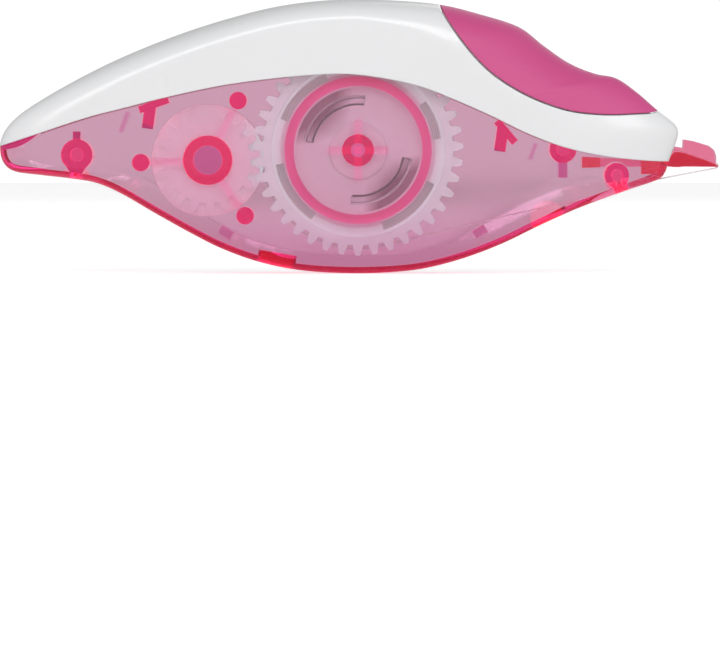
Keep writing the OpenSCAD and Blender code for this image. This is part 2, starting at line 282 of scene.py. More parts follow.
def under(line: np.ndarray, drop: float = 0) -> Solid:
    """Makes everything under a side view line, lowered by a drop."""
    return Solid.prism([(x, z - drop) for x, z in line] + [(FAR, -20), (-FAR, -20)])


def over(line: np.ndarray) -> Solid:
    """Makes everything over a side view line."""
    return Solid.prism([tuple(p) for p in line] + [(FAR, FAR), (-FAR, FAR)])


# ---------------------------------------------------------------- the body shape

@dataclass
class BodyForm:
    """Pillow shape that the case, the cover and the grip share, in millimetres."""

    half: float = 7.6
    shrink: float = 0.85
    tail_reach: float = 0.87
    nose_reach: float = 0.6
    nose_drop: float = 0.11
    belly_band: float = 4.7
    back_band: float = 1.9
    band_from: float = 22
    band_run: float = 14
    fine: int = 8
    turns: int = 14
    belly: list[Point] = field(default_factory=lambda: [
        (-53.5, 18.4), (-52.9, 16.4), (-51.2, 15.2), (-47.2, 14.65), (-42.9, 14.15),
        (-39.0, 13.45), (-35.2, 11.8), (-30.3, 8.95), (-25.0, 6.0), (-20.4, 3.7),
        (-15.0, 1.75), (-9.0, 0.5), (-2.5, 0.03), (3.5, 0.08), (9.5, 0.65),
        (15.5, 2.15), (21.5, 4.4), (27.5, 7.3), (33.5, 9.95), (39.5, 12.15),
        (44.6, 13.9), (45.9, 15.1), (46.4, 16.7)])
    top: list[Point] = field(default_factory=lambda: [
        (47.3, 19.0), (47.8, 20.9), (47.2, 22.4), (44.7, 24.4), (41.6, 27.1),
        (38.6, 29.15), (35.4, 29.85), (31.6, 31.4), (27.8, 34.0), (24.0, 36.85),
        (18.0, 38.8), (12.0, 40.2), (4.0, 40.85), (-4.0, 40.85), (-12.0, 39.9),
        (-20.0, 37.9), (-28.0, 35.25), (-36.0, 31.95), (-43.0, 28.4), (-49.0, 24.8),
        (-51.9, 22.4), (-53.2, 20.3)])

    def outline(self) -> np.ndarray:
        """Returns the rounded outline at mid thickness."""
        return rounded_loop(self.belly + self.top, self.fine)

    def on_panel(self, p: np.ndarray) -> np.ndarray:
        """Finds where an outline point lands on the flat side panel.

        Args:
            p: outline point.
        Returns:
            The point on the panel.
        """
        def spine(x: float) -> float:
            """Returns the height of the line the panel is drawn in to."""
            return 20 - 0.0009 * x * x
        x = p[0] * (self.nose_reach if p[0] > 0 else self.tail_reach)
        z = spine(x) + (p[1] - spine(p[0])) * self.shrink - max(0, x) * self.nose_drop
        return np.array([x, z])

    def loft(self, grow: float) -> Solid:
        """Builds the shape, grown or shrunk across the thickness.

        Args:
            grow: millimetres added on each side.
        Returns:
            The solid.
        """
        edge = self.outline()
        panel = np.array([self.on_panel(p) for p in edge])
        narrower = self.back_band - self.belly_band
        band = np.array([self.belly_band + narrower * ease((z - self.band_from) / self.band_run)
                         for _, z in edge])
        n, rings = len(edge), []
        for side in (-1, 1):
            turns = [math.radians(90 * k / self.turns) for k in range(self.turns + 1)]
            for a in (turns[::-1] if side < 0 else turns):
                xz = edge + (panel - edge) * (1 - math.cos(a))
                y = grow + band + (self.half - band) * math.sin(a)
                rings.append(np.column_stack([xz[:, 0], side * y, xz[:, 1]]))
        walls = [[r * n + i, r * n + (i + 1) % n, (r + 1) * n + (i + 1) % n, (r + 1) * n + i]
                 for r in range(len(rings) - 1) for i in range(n)]
        last = (len(rings) - 1) * n
        caps = [list(range(n - 1, -1, -1)), list(range(last, last + n))]
        return Solid.of(np.vstack(rings), walls + caps)

    def inset(self, depth: float) -> Solid:
        """Makes a prism of the outline drawn in by a depth.

        Args:
            depth: millimetres inside the outline.
        Returns:
            The solid.
        """
        p = self.outline()
        along = np.roll(p, -1, 0) - np.roll(p, 1, 0)
        along /= np.linalg.norm(along, axis=1)[:, None]
        inner = p + np.column_stack([-along[:, 1], along[:, 0]]) * depth
        near = np.linalg.norm(inner[:, None, :] - p[None, :, :], axis=2).min(axis=1)
        return Solid.prism([tuple(q) for q, d in zip(inner, near) if d > depth * 0.985])


# ---------------------------------------------------------------- shader words

Value = Union[float, Colour, "Shade", bpy.types.NodeSocket]


class Shade:
    """Node socket that arithmetic is written on."""

    def __init__(self, paint: "Paint", socket: bpy.types.NodeSocket) -> None:
        """Remembers the socket and the tree it is in."""
        self.paint, self.socket = paint, socket

    def _math(self, operation: str, a: Value, b: Value = 0.0, clamp: bool = False) -> "Shade":
        """Adds a Math node.

        Args:
            operation: the node's operation.
            a: first value.
            b: second value.
            clamp: whether the result is kept from 0 to 1.
        Returns:
            Its result.
        """
        settings = {"operation": operation, "use_clamp": clamp}
        return self.paint.add("ShaderNodeMath", settings, {0: a, 1: b})[0]

    def __add__(self, other: Value) -> "Shade":
        """Adds."""
        return self._math("ADD", self, other)

    __radd__ = __add__

    def __sub__(self, other: Value) -> "Shade":
        """Takes away."""
        return self._math("SUBTRACT", self, other)

    def __rsub__(self, other: Value) -> "Shade":
        """Takes this away from a number."""
        return self._math("SUBTRACT", other, self)

    def __mul__(self, other: Value) -> "Shade":
        """Multiplies."""
        return self._math("MULTIPLY", self, other)

    __rmul__ = __mul__

    def __truediv__(self, other: Value) -> "Shade":
        """Divides."""
        return self._math("DIVIDE", self, other)

    def __pow__(self, other: Value) -> "Shade":
        """Raises to a power."""
        return self._math("POWER", self, other)

    def wave(self) -> "Shade":
        """Returns the sine."""
        return self._math("SINE", self)

    def held(self) -> "Shade":
        """Keeps the value from 0 to 1."""
        return self._math("ADD", self, 0.0, True)


class Outputs:
    """Outputs of one node, by number or name."""

    def __init__(self, paint: "Paint", node: bpy.types.Node) -> None:
        """Remembers the node."""
        self.paint, self.node = paint, node

    def __getitem__(self, key: Union[int, str]) -> Shade:
        """Returns one output."""
        return Shade(self.paint, self.node.outputs[key])


class Paint:
    """Node tree of one finish, or of the world."""

    def __init__(self, owner: Union[bpy.types.Material, bpy.types.World]) -> None:
        """Clears the owner's nodes.

        Args:
            owner: the material or world that the nodes are in.
        """
        owner.use_nodes = True
        self.tree = owner.node_tree
        self.tree.nodes.clear()

    def add(self, kind: str, settings: Optional[dict[str, Any]] = None,
            sockets: Optional[dict[Union[int, str], Value]] = None) -> Outputs:
        """Adds a node.

        Args:
            kind: the node's type.
            settings: its settings, a ramp's stops among them, set first.
            sockets: values or links of its inputs.
        Returns:
            Its outputs.
        """
        node = self.tree.nodes.new(kind)
        for name, value in (settings or {}).items():
            if name == "stops":
                ramp = node.color_ramp.elements
                while len(ramp) < len(value):
                    ramp.new(0.5)
                for stop, (place, colour) in zip(ramp, value):
                    stop.position, stop.color = place, (*colour, 1)
            else:
                setattr(node, name, value)
        for key, value in (sockets or {}).items():
            into = node.inputs[key]
            if isinstance(value, Shade):
                self.tree.links.new(value.socket, into)
            elif isinstance(value, tuple) and into.type == "RGBA":
                into.default_value = (*value, 1)
            else:
                into.default_value = value
        return Outputs(self, node)

    def mix(self, share: Value, a: Value, b: Value) -> Shade:
        """Mixes two colours.

        Args:
            share: share of the second one.
            a: first colour.
            b: second colour.
        Returns:
            The mixed colour.
        """
        return self.add("ShaderNodeMix", {"data_type": "RGBA"}, {0: share, 6: a, 7: b})[2]

    def place(self) -> Shade:
        """Returns the position on the piece, in metres."""
        return self.add("ShaderNodeTexCoord")["Object"]

    def parts(self, vector: Shade) -> Outputs:
        """Returns the X, Y and Z of a vector."""
        return self.add("ShaderNodeSeparateXYZ", None, {0: vector})

    def from_axle(self, at: Point) -> tuple[Shade, Shade]:
        """Returns how far a place is from an axle, along X and along Z, in millimetres."""
        spot = self.parts(self.place())
        return (spot["X"] - at[0] * MM) * 1000, (spot["Z"] - at[1] * MM) * 1000

    def noise(self, scale: float, detail: float = 3) -> Shade:
        """Adds a soft noise.

        Args:
            scale: its waves in a metre.
            detail: its finer steps.
        Returns:
            Its value, about 0.5.
        """
        sockets: dict[Union[int, str], Value] = {
            "Scale": scale, "Detail": detail, "Vector": self.place()}
        return self.add("ShaderNodeTexNoise", None, sockets)["Fac"]

    def bump(self, height: Shade, depth: float, normal: Optional[Shade] = None) -> Shade:
        """Adds a bump.

        Args:
            height: what stands up, 0 to 1.
            depth: its height in metres.
            normal: normal to start from.
        Returns:
            The bumped normal.
        """
        sockets: dict[Union[int, str], Value] = {
            "Strength": 1.0, "Distance": depth, "Height": height}
        if normal is not None:
            sockets["Normal"] = normal
        return self.add("ShaderNodeBump", None, sockets)["Normal"]

    def soft_edges(self, radius: float) -> Shade:
        """Returns a normal that is rounded at the edges by a radius in metres."""
        return self.add("ShaderNodeBevel", {"samples": 6}, {"Radius": radius})["Normal"]


class Finish:
    """A surface finish that makes its material once."""

    name: str

    def dress(self, paint: Paint) -> tuple[Shade, Optional[Shade]]:
        """Adds the nodes and returns the surface and the volume, if any."""
        raise NotImplementedError

    def make(self) -> bpy.types.Material:
        """Makes the material, unless it is made already.

        Returns:
            The material.
        """
        title = "finish_" + self.name
        if title in bpy.data.materials:
            return bpy.data.materials[title]
        material = bpy.data.materials.new(title)
        paint = Paint(material)
        surface, volume = self.dress(paint)
        sockets: dict[Union[int, str], Value] = {"Surface": surface}
        if volume is not None:
            sockets["Volume"] = volume
        paint.add("ShaderNodeOutputMaterial", None, sockets)
        return material


@dataclass(frozen=True)
class ClearTint(Finish):
    """Clear moulded plastic that takes colour from light by depth."""

    name: str
    taken: Colour
    # painted glow: emission colours and strengths of the clear plastic
    glow: Colour = (1.0, 0.025, 0.14)
    deep_glow: Colour = (1.0, 0.005, 0.06)
    face_glow: float = 0.02
    edge_glow: float = 0.09
    even_wash: Colour = (0.995, 0.98, 0.99)
    # painted shade: below low_from mm the clear plastic takes this darker, pinker colour
    low_shade_tint: Colour = (0.955, 0.78, 0.885)
    low_from: float = 11.5
    inner_half: float = 6.4
    ring_wash: Colour = (0.93, 0.45, 0.66)
    bosses: tuple[tuple[float, ...], ...] = ()
    bars: tuple[tuple[float, ...], ...] = ()
    roughness: float = 0.03
    ior: float = 1.47
    density: float = 400.0

    def dress(self, paint: Paint) -> tuple[Shade, Optional[Shade]]:
        """Adds smooth glass with faint flow marks, an even absorption, a base colour with painted shade
        that is darker towards the bottom, and a painted glow at edges and bosses.

        Args:
            paint: the finish's nodes.
        Returns:
            The surface and the volume.
        """
        flow = paint.noise(90, 2)
        haze = (flow - 0.35) * 0.05 + self.roughness
        height = paint.parts(paint.place())["Z"]
        # painted shade: the base colour darker towards the bottom
        low = ((self.low_from * MM - height) * 110 + (flow - 0.5) * 0.6).held()
        wash = paint.mix(low, self.even_wash, self.low_shade_tint)
        # painted glow: emission at edges, bosses and bars
        painted_glow_colour, rings = self.edge_and_boss_glow(paint)
        wash = paint.mix(rings, wash, self.ring_wash)
        glass = paint.add("ShaderNodeBsdfPrincipled", None, {
            "Base Color": wash, "Roughness": haze.held(), "IOR": self.ior,
            "Transmission Weight": 1.0, "Emission Color": painted_glow_colour,
            "Emission Strength": 1.0})[0]
        passed = tuple(1 - t / self.density for t in self.taken)
        inside = paint.add("ShaderNodeVolumeAbsorption", None,
                           {"Color": passed, "Density": self.density})[0]
        return glass, inside

    def edge_and_boss_glow(self, paint: Paint) -> tuple[Shade, Shade]:
        """Adds a painted glow: emission on the clear plastic at its edges, bosses and bars.

        Args:
            paint: the finish's nodes.
        Returns:
            The colour of the painted glow, and where the rings are.
        """
        facing = paint.parts(paint.add("ShaderNodeTexCoord")["Normal"])["Y"]
        edge = (1 - facing * facing) ** 2
        spot = paint.parts(paint.place())
        inner = (((self.inner_half * MM) ** 2 - spot["Y"] * spot["Y"]) * 4e5).held()
        level = edge * self.edge_glow + self.face_glow
        red, rings = spot["Y"] * 0.0, spot["Y"] * 0.0
        for x, z, outer, hollow, glow in self.bosses:
            dx, dz = spot["X"] - x * MM, spot["Z"] - z * MM
            apart = dx * dx + dz * dz
            share = (((outer * MM) ** 2 - apart) * 4e6).held() * inner
            if hollow:
                share = share * ((apart - (hollow * MM) ** 2) * 4e6).held()
                rings = rings + share
            level = level + share * glow
            red = red + share
        for x, z, turn, reach, half, glow in self.bars:
            run, rise = math.cos(math.radians(turn)), math.sin(math.radians(turn))
            dx, dz = spot["X"] - x * MM, spot["Z"] - z * MM
            along, across = dx * run + dz * rise, dx * rise - dz * run
            wide = (((half * MM) ** 2 - across * across) * 8e6).held()
            level = level + wide * (along * (reach * MM - along) * 1e6).held() * inner * glow
        glow_tint = paint.mix(red.held(), self.glow, self.deep_glow)
        return paint.mix(level.held(), (0.0, 0.0, 0.0), glow_tint), rings.held()


@dataclass(frozen=True)
class GlossMoulding(Finish):
    """Opaque moulded plastic with a soft gloss."""

    name: str
    colour: Colour
    shade: Colour
    roughness: float = 0.3
    coat: float = 0.25
    edge: float = 0.0003
    ripple: float = 0.00001
    # strength of a painted glow, emission in the moulding's colour
    painted_glow_strength: float = 0.0

    def dress(self, paint: Paint) -> tuple[Shade, Optional[Shade]]:
        """Adds a faintly uneven colour and gloss with rounded edges, and a painted glow where its strength
        is set.

        Args:
            paint: the finish's nodes.
        Returns:
            The surface, and no volume.
        """
        tone = self.tone(paint)
        gloss = paint.noise(260, 3) * 0.12 + (self.roughness - 0.06)
        normal = paint.bump(paint.noise(420, 2), self.ripple, paint.soft_edges(self.edge))
        sockets = {"Base Color": tone, "Roughness": gloss, "Normal": normal,
                   "Coat Weight": self.coat, "Coat Roughness": 0.12}
        # painted glow: emission in the moulding's colour
        if self.painted_glow_strength:
            sockets |= {"Emission Color": self.painted_glow_colour(paint, tone), "Emission Strength": self.painted_glow_strength}
        return paint.add("ShaderNodeBsdfPrincipled", None, sockets)[0], None

    def painted_glow_colour(self, paint: Paint, tone: Shade) -> Shade:
        """Returns the colour of the painted glow, which is the moulding's own colour."""
        return tone

    def tone(self, paint: Paint) -> Shade:
        """Returns the faintly uneven colour."""
        return paint.mix(paint.noise(35, 4), self.colour, self.shade)


@dataclass(frozen=True)
class CrescentShadeMoulding(GlossMoulding):
    """Milky moulding with painted shade in two crescents round its axle and a painted glow, stronger at
    the toothed rim.
    """

    at: Point = (0.0, 0.0)
    # colour of the painted shade in the two crescents
    deep: Colour = (0.30, 0.20, 0.25)
    reach: float = 9.4
    start: float = 6.0
    rim: float = 11.4
    rim_light: Colour = (0.25, 0.62, 0.50)
    web_light: Colour = (0.12, 0.12, 0.12)

    def tone(self, paint: Paint) -> Shade:
        """Adds painted shade in two crescents round the axle to the colour.

        Args:
            paint: the finish's nodes.
        Returns:
            The colour.
        """
        dx, dz = paint.from_axle(self.at)
        # painted shade: upper left and lower right of the axle, within the reach
        crescent_shade_mask = ((0.0 - dx * dz - self.start) * 0.05).held()
        inside = ((self.reach ** 2 - dx * dx - dz * dz) * 0.3).held()
        return paint.mix(crescent_shade_mask * inside, super().tone(paint), self.deep)

    def painted_glow_colour(self, paint: Paint, tone: Shade) -> Shade:
        """Adds a painted glow, stronger at the toothed rim than on the web.

        Args:
            paint: the finish's nodes.
            tone: the moulding's colour, not used.
        Returns:
            The colour of the painted glow.
        """
        dx, dz = paint.from_axle(self.at)
        # painted glow: stronger outside the rim radius
        rim = ((dx * dx + dz * dz - self.rim ** 2) * 0.1).held()
        return paint.mix(rim, self.web_light, self.rim_light)


@dataclass(frozen=True)
class SoftGrip(Finish):
    """Matt rubber with a fine grain."""

    name: str
    colour: Colour
    shade: Colour

    def dress(self, paint: Paint) -> tuple[Shade, Optional[Shade]]:
        """Adds a fine grain in colour, gloss and height.

        Args:
            paint: the finish's nodes.
        Returns:
            The surface, and no volume.
        """
        grain = paint.noise(5200, 2)
        tone = paint.mix((paint.noise(60, 3) * 0.7 + grain * 0.3).held(), self.colour, self.shade)
        normal = paint.bump(grain, 0.00002, paint.soft_edges(0.00025))
        return paint.add("ShaderNodeBsdfPrincipled", None, {
            "Base Color": tone, "Roughness": grain * 0.16 + 0.42, "Normal": normal,
            "Sheen Weight": 0.15, "Sheen Roughness": 0.5})[0], None


@dataclass(frozen=True)
class WoundStrip(Finish):
    """Side of a wound strip, with a fine ring for each few turns."""

    name: str
    at: Point
    pitch: float
    face: Colour
    gap: Colour
    roughness: float = 0.5
    # strength of a painted glow, emission in the rings' colour
    painted_glow_strength: float = 0.06

    def dress(self, paint: Paint) -> tuple[Shade, Optional[Shade]]:
        """Adds rings round the axle and a faint painted glow in their colour.

        Args:
            paint: the finish's nodes.
        Returns:
            The surface, and no volume.
        """
        spot = paint.add("ShaderNodeVectorMath", {"operation": "SUBTRACT"}, {
            0: paint.place(), 1: (self.at[0] * MM, 0.0, self.at[1] * MM)})[0]
        parts = paint.parts(spot)
        radius = (parts["X"] * parts["X"] + parts["Z"] * parts["Z"]) ** 0.5
        uneven = paint.noise(900, 2)
        ring = ((radius * (2 * math.pi / (self.pitch * MM))) + uneven * 2.2).wave() * 0.5 + 0.5
        tone = paint.mix((ring * 0.8 + uneven * 0.2).held(), self.gap, self.face)
        # painted glow: faint emission in the rings' colour
        return paint.add("ShaderNodeBsdfPrincipled", None, {
            "Base Color": tone, "Roughness": uneven * 0.15 + self.roughness,
            "Normal": paint.bump(ring, 0.00003), "Emission Color": tone,
            "Emission Strength": self.painted_glow_strength})[0], None


@dataclass(frozen=True)
class PaleFloor(Finish):
    """Plain pale floor."""

    name: str
    colour: Colour = (0.88, 0.88, 0.885)
    backlight: float = 0.56

    def dress(self, paint: Paint) -> tuple[Shade, Optional[Shade]]:
        """Adds a matt white with a trace of unevenness, lit from below where the camera sees it.

        Args:
            paint: the finish's nodes.
        Returns:
            The surface, and no volume.
        """
        tone = paint.mix(paint.noise(3, 2), self.colour, (0.95, 0.95, 0.95))
        seen = paint.add("ShaderNodeLightPath")["Is Camera Ray"]
        return paint.add("ShaderNodeBsdfPrincipled", None, {
            "Base Color": tone, "Roughness": paint.noise(40, 2) * 0.1 + 0.75,
            "Emission Color": paint.mix(seen, (0.0, 0.0, 0.0), (self.backlight,) * 3),
            "Emission Strength": 1.0})[0], None


SUPPLY: Point = (0.0, 18.4)
TAKE_UP: Point = (-22.45, 16.9)


# bosses and rings with a painted glow, the rings also tinted deeper pink: x, z, outer and inner radius in
# mm, and how strongly they glow
BOSSES = ((-42.0, 17.7, 2.5, 0.0, 0.12), (38.6, 14.7, 1.9, 0.0, 0.12), (30.6, 18.5, 2.1, 0.0, 0.12),
          (-32.44, 16.55, 1.4, 0.0, 0.15), (-17.91, 25.81, 1.4, 0.0, 0.15), (-16.86, 8.61, 1.4, 0.0, 0.15),
          (*TAKE_UP, 3.75, 2.15, 0.15), (*SUPPLY, 2.4, 1.0, 0.09), (*SUPPLY, 11.0, 9.6, 0.1),
          (-30.5, 24.6, 2.7, 0.0, 0.12), (22.0, 20.8, 2.6, 0.0, 0.12),
          (-12.05, 2.6, 2.6, 0.0, 0.1), (28.3, 8.4, 2.6, 0.0, 0.1))

# spokes and cross arms with a painted glow: start x and z, degrees, length and half width in mm, and how
# strongly they glow
BARS = (*((*polar(TAKE_UP, 3.75, a), a, 5.0, 0.6, 0.07) for a in (182, 63, -56)),
        (-4.7, 18.4, 0, 9.4, 0.65, 0.08), (0.0, 13.7, 90, 9.4, 0.65, 0.08))


@dataclass(frozen=True)
class Palette:
    """The finishes, one for each kind of part."""

    case: Finish = ClearTint("clear_pink", (20.0, 220.0, 95.0), bosses=BOSSES, bars=BARS)
    cover: Finish = GlossMoulding("cover_white", (0.90, 0.905, 0.915), (0.88, 0.885, 0.895), coat=0.3)
    grip: Finish = SoftGrip("grip_pink", (0.72, 0.088, 0.295), (0.65, 0.068, 0.25))
    head: Finish = ClearTint("clear_coral", (10.0, 750.0, 440.0), (1.0, 0.04, 0.16), (1.0, 0.04, 0.1),
                             face_glow=0.06, edge_glow=0.05, roughness=0.08, density=1000.0)
    # the gears, spring, cores, film and tape carry a painted glow; the big gear and the spring also carry
    # painted shade in two crescents
    big_gear: Finish = CrescentShadeMoulding("gear_dished", (0.86, 0.94, 0.93), (0.83, 0.91, 0.90), 0.4,
                                      coat=0.0, edge=0.00008, painted_glow_strength=0.36, at=SUPPLY)
    gear: Finish = GlossMoulding("gear_milky", (0.93, 0.93, 0.94), (0.89, 0.89, 0.91), 0.4,
                                 coat=0.0, edge=0.00008, painted_glow_strength=0.1)
    spring: Finish = CrescentShadeMoulding("spring_milky", (0.9, 0.88, 0.91), (0.84, 0.82, 0.86), 0.4,
                                    coat=0.0, edge=0.00008, painted_glow_strength=0.2, at=SUPPLY)
    core: Finish = GlossMoulding("core_white", (0.88, 0.87, 0.89), (0.82, 0.81, 0.84), 0.4,
                                 coat=0.0, edge=0.0001, painted_glow_strength=0.02)
    tape: Finish = WoundStrip("tape_rings", SUPPLY, 0.28, (0.84, 0.84, 0.83), (0.66, 0.66, 0.66))
    film: Finish = GlossMoulding("backing_film", (0.90, 0.91, 0.91), (0.84, 0.86, 0.86), 0.35,
                                 coat=0.0, edge=0.00002, ripple=0.000004, painted_glow_strength=0.04)
    backing: Finish = WoundStrip("backing_rings", TAKE_UP, 0.2, (0.62, 0.62, 0.62), (0.48, 0.48, 0.49),
                                 0.35)
    floor: Finish = PaleFloor("floor_pale")


# ---------------------------------------------------------------- sub-assemblies

CLEAR = 0.06


@dataclass
class Lines:
    """Side view lines where the parts meet, in millimetres."""

    border: list[Point] = field(default_factory=lambda: [
        (-60, 17.2), (-53.5, 19.0), (-48.5, 20.6), (-40.6, 23.2), (-34.8, 24.7),
        (-28.9, 26.2), (-21.0, 27.9), (-14.1, 28.9), (-7.0, 29.6), (-1.5, 29.75),
        (3.9, 29.1), (9.3, 27.9), (14.7, 25.8), (20.1, 23.4), (25.5, 20.8),
        (30.9, 18.8), (36.3, 17.6), (41.7, 16.95), (47.0, 16.7), (60, 16.6)])
    case_top: list[Point] = field(default_factory=lambda: [
        (-60, 19.0), (-51.0, 19.9), (-46.0, 23.3), (-40.0, 27.0), (-33.0, 30.3), (-26.0, 32.9),
        (-18.0, 35.1), (-10.0, 36.5), (-2.0, 37.0), (5.0, 36.3), (10.5, 34.0),
        (14.5, 30.9), (18.0, 28.7), (22.0, 26.7), (26.0, 24.6), (31.3, 22.5), (36.0, 21.6),
        (42.0, 21.0), (60, 20.6)])
    grip_edge: list[Point] = field(default_factory=lambda: [
        (12.0, 44), (12.1, 40.0), (14.8, 35.4), (18.2, 31.3), (21.6, 28.5),
        (26.1, 26.0), (31.3, 24.2), (36.4, 23.6), (41.0, 23.7), (44.9, 24.2), (50, 27)])

    def top_of_case(self) -> np.ndarray:
        """Returns the rounded top of the case."""
        return rounded_line(self.case_top, 8)

    def edge_of_grip(self, shift: float = 0) -> list[Point]:
        """Returns the outline of the grip's side view area."""
        edge = [(x + shift, z + shift) for x, z in rounded_line(self.grip_edge, 8)]
        return edge + [(50, 50), (12 + shift, 50)]


def mouth(slot_half: float = 3.35) -> Solid:
    """Makes the opening that the tape and the head pass through."""
    corners = [(43.6, 12.4), (51.6, 12.4), (51.6, 19.7), (43.6, 19.7)]
    return Solid.prism(corners, -slot_half, slot_half)


@dataclass
class CaseHalves:
    """The two clear halves of the case, with their bosses and axles."""

    form: BodyForm
    lines: Lines
    palette: Palette
    wall: float = 1.1
    slot_half: float = 3.35
    half_tape: float = 2.5
    tear_at: Point = (-42.0, 17.7)
    tear_r: float = 2.35
    guide_lo: Point = (38.6, 14.7)
    guide_lo_r: float = 1.83
    guide_hi: Point = (30.6, 18.5)
    guide_hi_r: float = 2.0
    axle_r: float = 2.35
    pin_r: float = 1.0
    take_axle_r: float = 3.65
    take_pin_r: float = 2.15
    post_ring: float = 10.0
    post_r: float = 1.3
    post_angles: tuple[float, ...] = (182, 63, -56)
    latches: tuple[tuple[float, ...], ...] = ((-30.5, 25.2, 20, 4.6, 23.4), (22.1, 21.15, -50, 4.2, 20.0))

    def __post_init__(self) -> None:
        """Works out where ribs start inside the panel."""
        self.root = self.form.half - self.wall + 0.2
        self.far_gear = -5.3

    def bosses(self, side: int) -> list[Solid]:
        """Builds the ribs, bosses and hooks that both halves carry.

        Args:
            side: -1 for the front half, 1 for the rear.
        Returns:
            The solids.
        """
        def span(inner: float) -> Point:
            """Returns the Y range from the panel to an inner position."""
            return (-self.root, -inner) if side < 0 else (inner, self.root)
        tear = [polar(self.tear_at, self.tear_r, a) for a in range(-33, 214, 6)]
        tear += [(self.tear_at[0] - 0.3, 14.6), (self.tear_at[0] + 0.3, 14.6)]
        made = [Solid.prism(tear, *span(0.05)),
                Solid.block((self.tear_at[0], 20.4), (1.15, 1.6), *span(0.05)),
                Solid.rod(self.guide_hi, *span(0.05), self.guide_hi_r),
                Solid.block((self.guide_hi[0], 15.6), (1.3, 2.6), *span(3.2)),
                Solid.rod(self.guide_lo, *span(0.05), self.guide_lo_r),
                Solid.block((-19.7, 6.2), (1.1, 2.0), *span(3.4), 60),
                Solid.block((18.2, 6.3), (1.1, 2.0), *span(3.4), -60),
                Solid.block((-35.0, 22.6), (0.6, 3.2), *span(5.2), -20),
                Solid.block((26.2, 18.2), (0.5, 2.6), *span(5.2), -20),
                Solid.block((-12.05, 2.55), (5.7, 1.3), *span(0.05), -10),
                Solid.block((28.3, 8.4), (6.2, 1.1), *span(0.05), 27)]
        for x, z, turn, length, stem in self.latches:
            made.append(Solid.block((x, z), (length, 1.1), *span(0.05), turn))
            made.append(Solid.block((x - 0.7, stem), (1.7, 3.6), *span(0.05), -8))
        return made

    def half(self, side: int, extras: list[Solid]) -> Solid:
        """Builds one half with what stands inside it.

        Args:
            side: -1 for the front half, 1 for the rear.
            extras: solids only this half has.
        Returns:
            The half.
        """
        top = self.lines.top_of_case()
        y0, y1 = (-20, -0.01) if side < 0 else (0.01, 20)
        this_side = Solid.prism([(-FAR, -20), (FAR, -20), (FAR, FAR), (-FAR, FAR)], y0, y1)
        outer = (self.form.loft(0) & under(top)) & this_side
        hollow = (self.form.loft(-self.wall) & self.form.inset(self.wall + 0.1)) & under(top, self.wall)
        slot = Solid.prism([(15, 18), (49, 18), (49, 38), (15, 38)], -self.slot_half, self.slot_half)
        hollow = (hollow + slot) - Solid.every(self.bosses(side) + extras)
        strand = [(32.5, 10.75), (39.1, 12.48), (41.5, 12.98), (42.2, 12), (48, 12), (48, 16), (33, 13)]
        groove = Solid.prism(strand, -self.half_tape - 0.3, self.half_tape + 0.3)
        for cut in (hollow, mouth(), groove):
            outer = outer - cut
        return outer

    def front(self) -> Solid:
        """Builds the front half: bosses, cross ribs, ring rib, spokes and posts.

        Returns:
            The half.
        """
        r = self.root
        extras = [Solid.rod(SUPPLY, -r, -5.55, self.axle_r), Solid.rod(SUPPLY, -r, -3.5, self.pin_r),
                  Solid.block(SUPPLY, (9.4, 1.3), -r, -5.75),
                  Solid.block(SUPPLY, (1.3, 9.4), -r, -5.75),
                  Solid.rod(SUPPLY, -r, -5.0, 11.0, 128) - Solid.rod(SUPPLY, -r - 1, -4.9, 9.6, 128),
                  Solid.rod(TAKE_UP, -r, -5.55, self.take_axle_r),
                  Solid.rod(TAKE_UP, -r, -3.5, self.take_pin_r)]
        for a in self.post_angles:
            spoke_at = polar(TAKE_UP, self.post_ring / 2, a)
            extras.append(Solid.rod(polar(TAKE_UP, self.post_ring, a), -r, -0.05, self.post_r))
            extras.append(Solid.block(spoke_at, (self.post_ring, 1.1), -r, -5.75, a))
        whole = self.half(-1, extras)
        for at, radius in ((self.tear_at, 1.0), (self.guide_lo, 0.85), (self.guide_hi, 0.95)):
            whole = whole - Solid.rod(at, -5.4, 1, radius)
        return whole

    def rear(self) -> Solid:
        """Builds the rear half with its shoulders, pins and axles.

        Returns:
            The half.
        """
        r = self.root
        extras = [Solid.rod(SUPPLY, 3.9, r, self.axle_r + 2),
                  Solid.rod(TAKE_UP, 3.8, r, self.take_axle_r + 1.4)]
        extras += [Solid.rod(polar(TAKE_UP, self.post_ring, a), 0.05, r, self.post_r)
                   for a in self.post_angles]
        whole = self.half(1, extras)
        for at, radius in ((self.tear_at, 0.94), (self.guide_lo, 0.79), (self.guide_hi, 0.89)):
            whole = whole + Solid.rod(at, -4.6, 1, radius)
        for at, radius, pin in ((SUPPLY, self.axle_r, self.pin_r),
                                (TAKE_UP, self.take_axle_r, self.take_pin_r)):
            tube = Solid.rod(at, self.far_gear - 0.1, r, radius) - Solid.rod(at, -20, 5.6, pin + CLEAR)
            whole = whole + tube
        return whole

    def build(self) -> list[bpy.types.Object]:
        """Builds and dresses both halves.

        Returns:
            The front and the rear piece.
        """
        finish = self.palette.case.make()
        return [self.front().piece("front_case_shell", finish, "case_pink", ["front_case"]),
                self.rear().piece("rear_case_shell", finish, "case_pink", ["rear_case"])]


